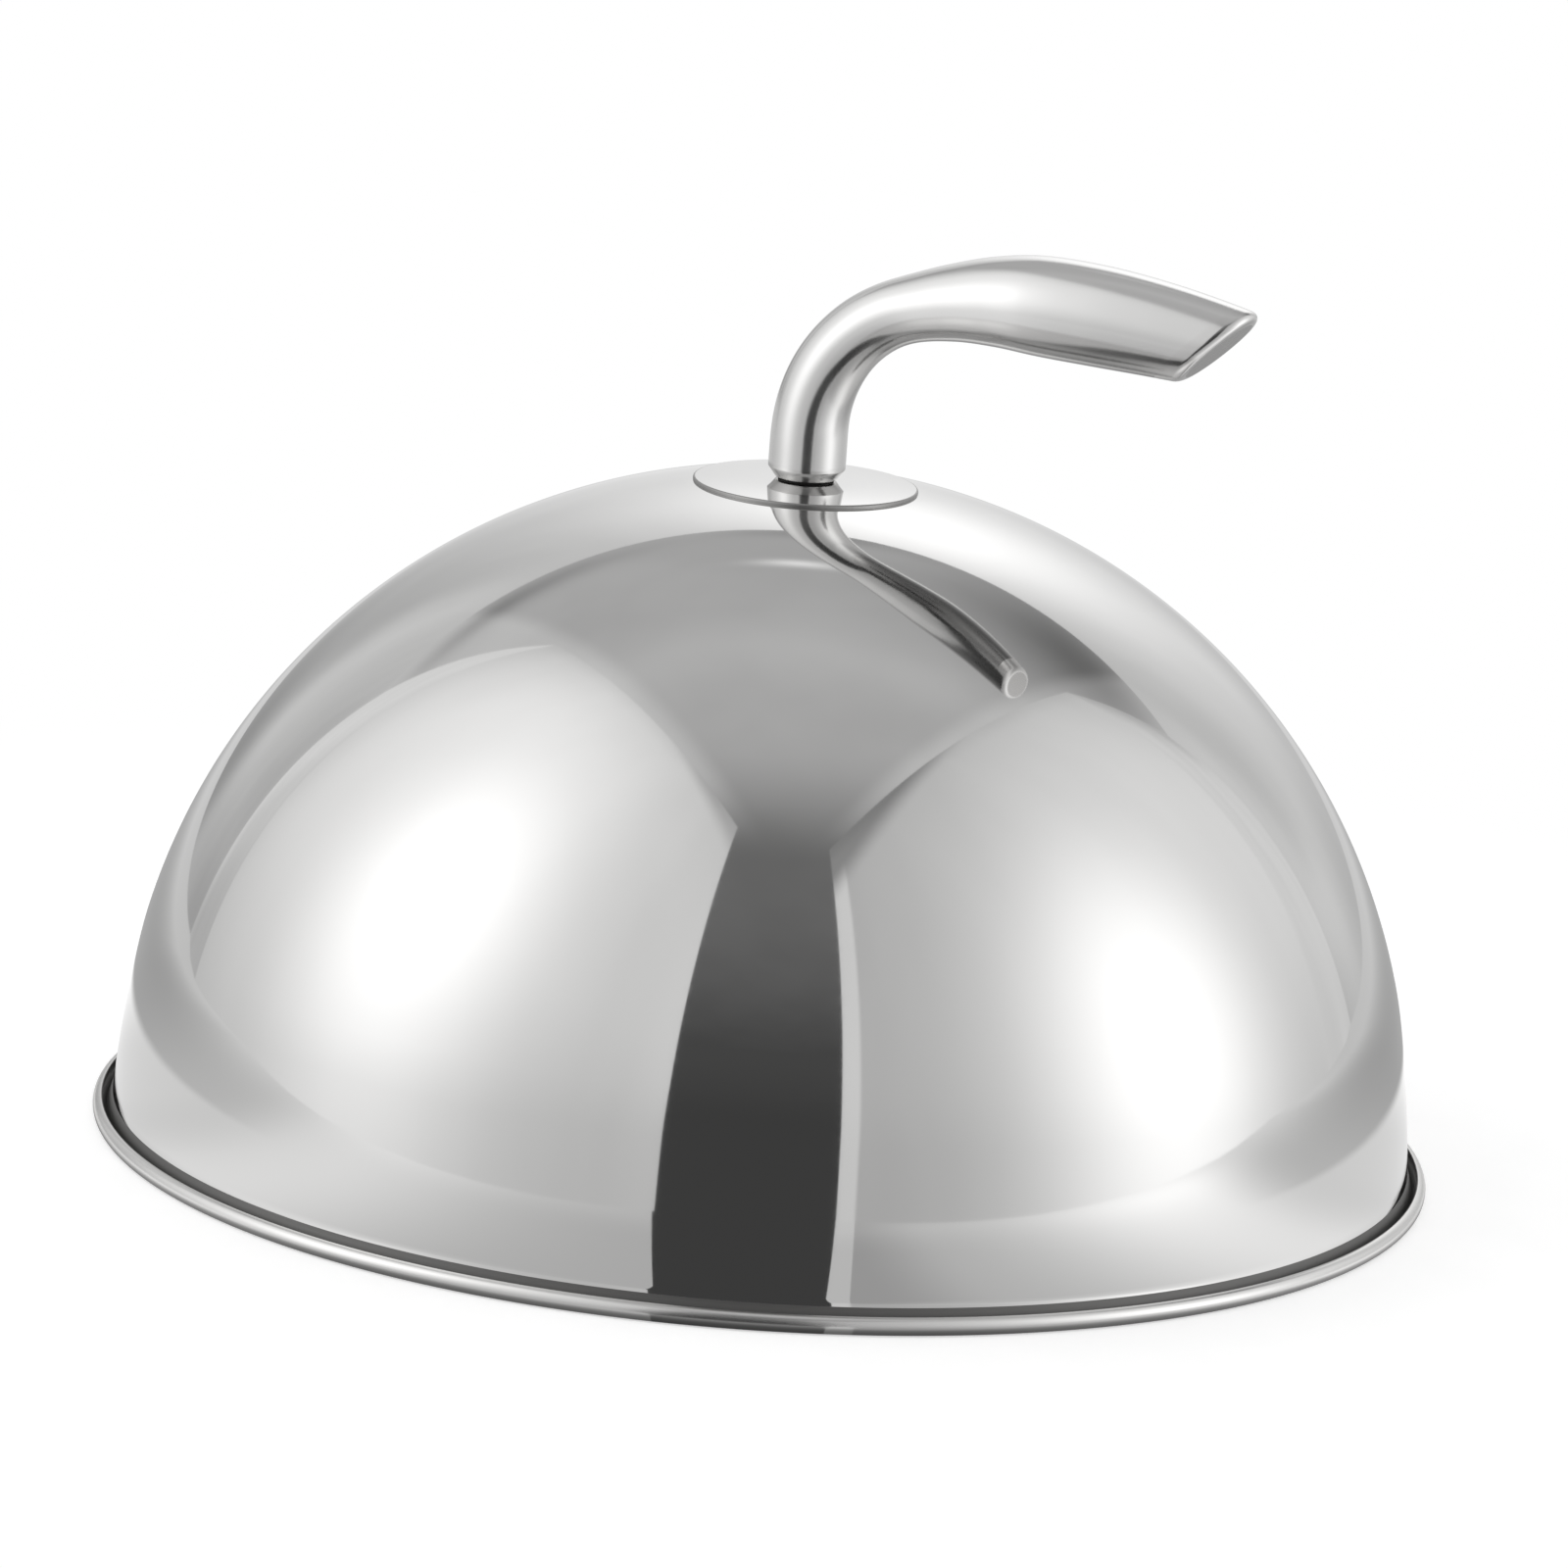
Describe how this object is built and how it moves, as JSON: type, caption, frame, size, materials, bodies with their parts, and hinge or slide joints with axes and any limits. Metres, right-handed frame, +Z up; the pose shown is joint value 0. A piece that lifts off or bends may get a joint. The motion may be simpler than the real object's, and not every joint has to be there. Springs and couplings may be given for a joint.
{
  "type": "food cover dome",
  "caption": "Polished steel dome that covers a buffet dish, with a rolled rim and a one-sided curved horn handle screwed to a round plate at the crown.",
  "frame": {"origin": "centre of the rim's flat resting land, in the plane that the cover stands on", "axes": "+Z up along the dome's axis, +X the way the handle's arm points, +Y to complete a right-handed frame"},
  "size_m": [0.3, 0.3, 0.21],
  "materials": {
    "dome_steel": "mirror-polished stainless steel outside, satin spun inside",
    "plate_steel": "mirror-polished stainless steel",
    "handle_steel": "mirror-polished stainless steel",
    "cap_steel": "polished stainless steel with a rounded lip",
    "fixing_steel": "plain machined stainless steel",
    "dark_rubber": "matt black silicone rubber"
  },
  "bodies": {
    "root": {"dome_shell": "dome_steel", "crown_plate": "plate_steel", "foot_seal": "dark_rubber", "handle_foot": "handle_steel", "handle_shell": "handle_steel", "handle_end_cap": "cap_steel", "locating_pin": "fixing_steel", "inner_seal": "dark_rubber", "load_washer": "fixing_steel", "spring_washer": "fixing_steel", "fixing_screw": "fixing_steel"}
  },
  "joints": []
}
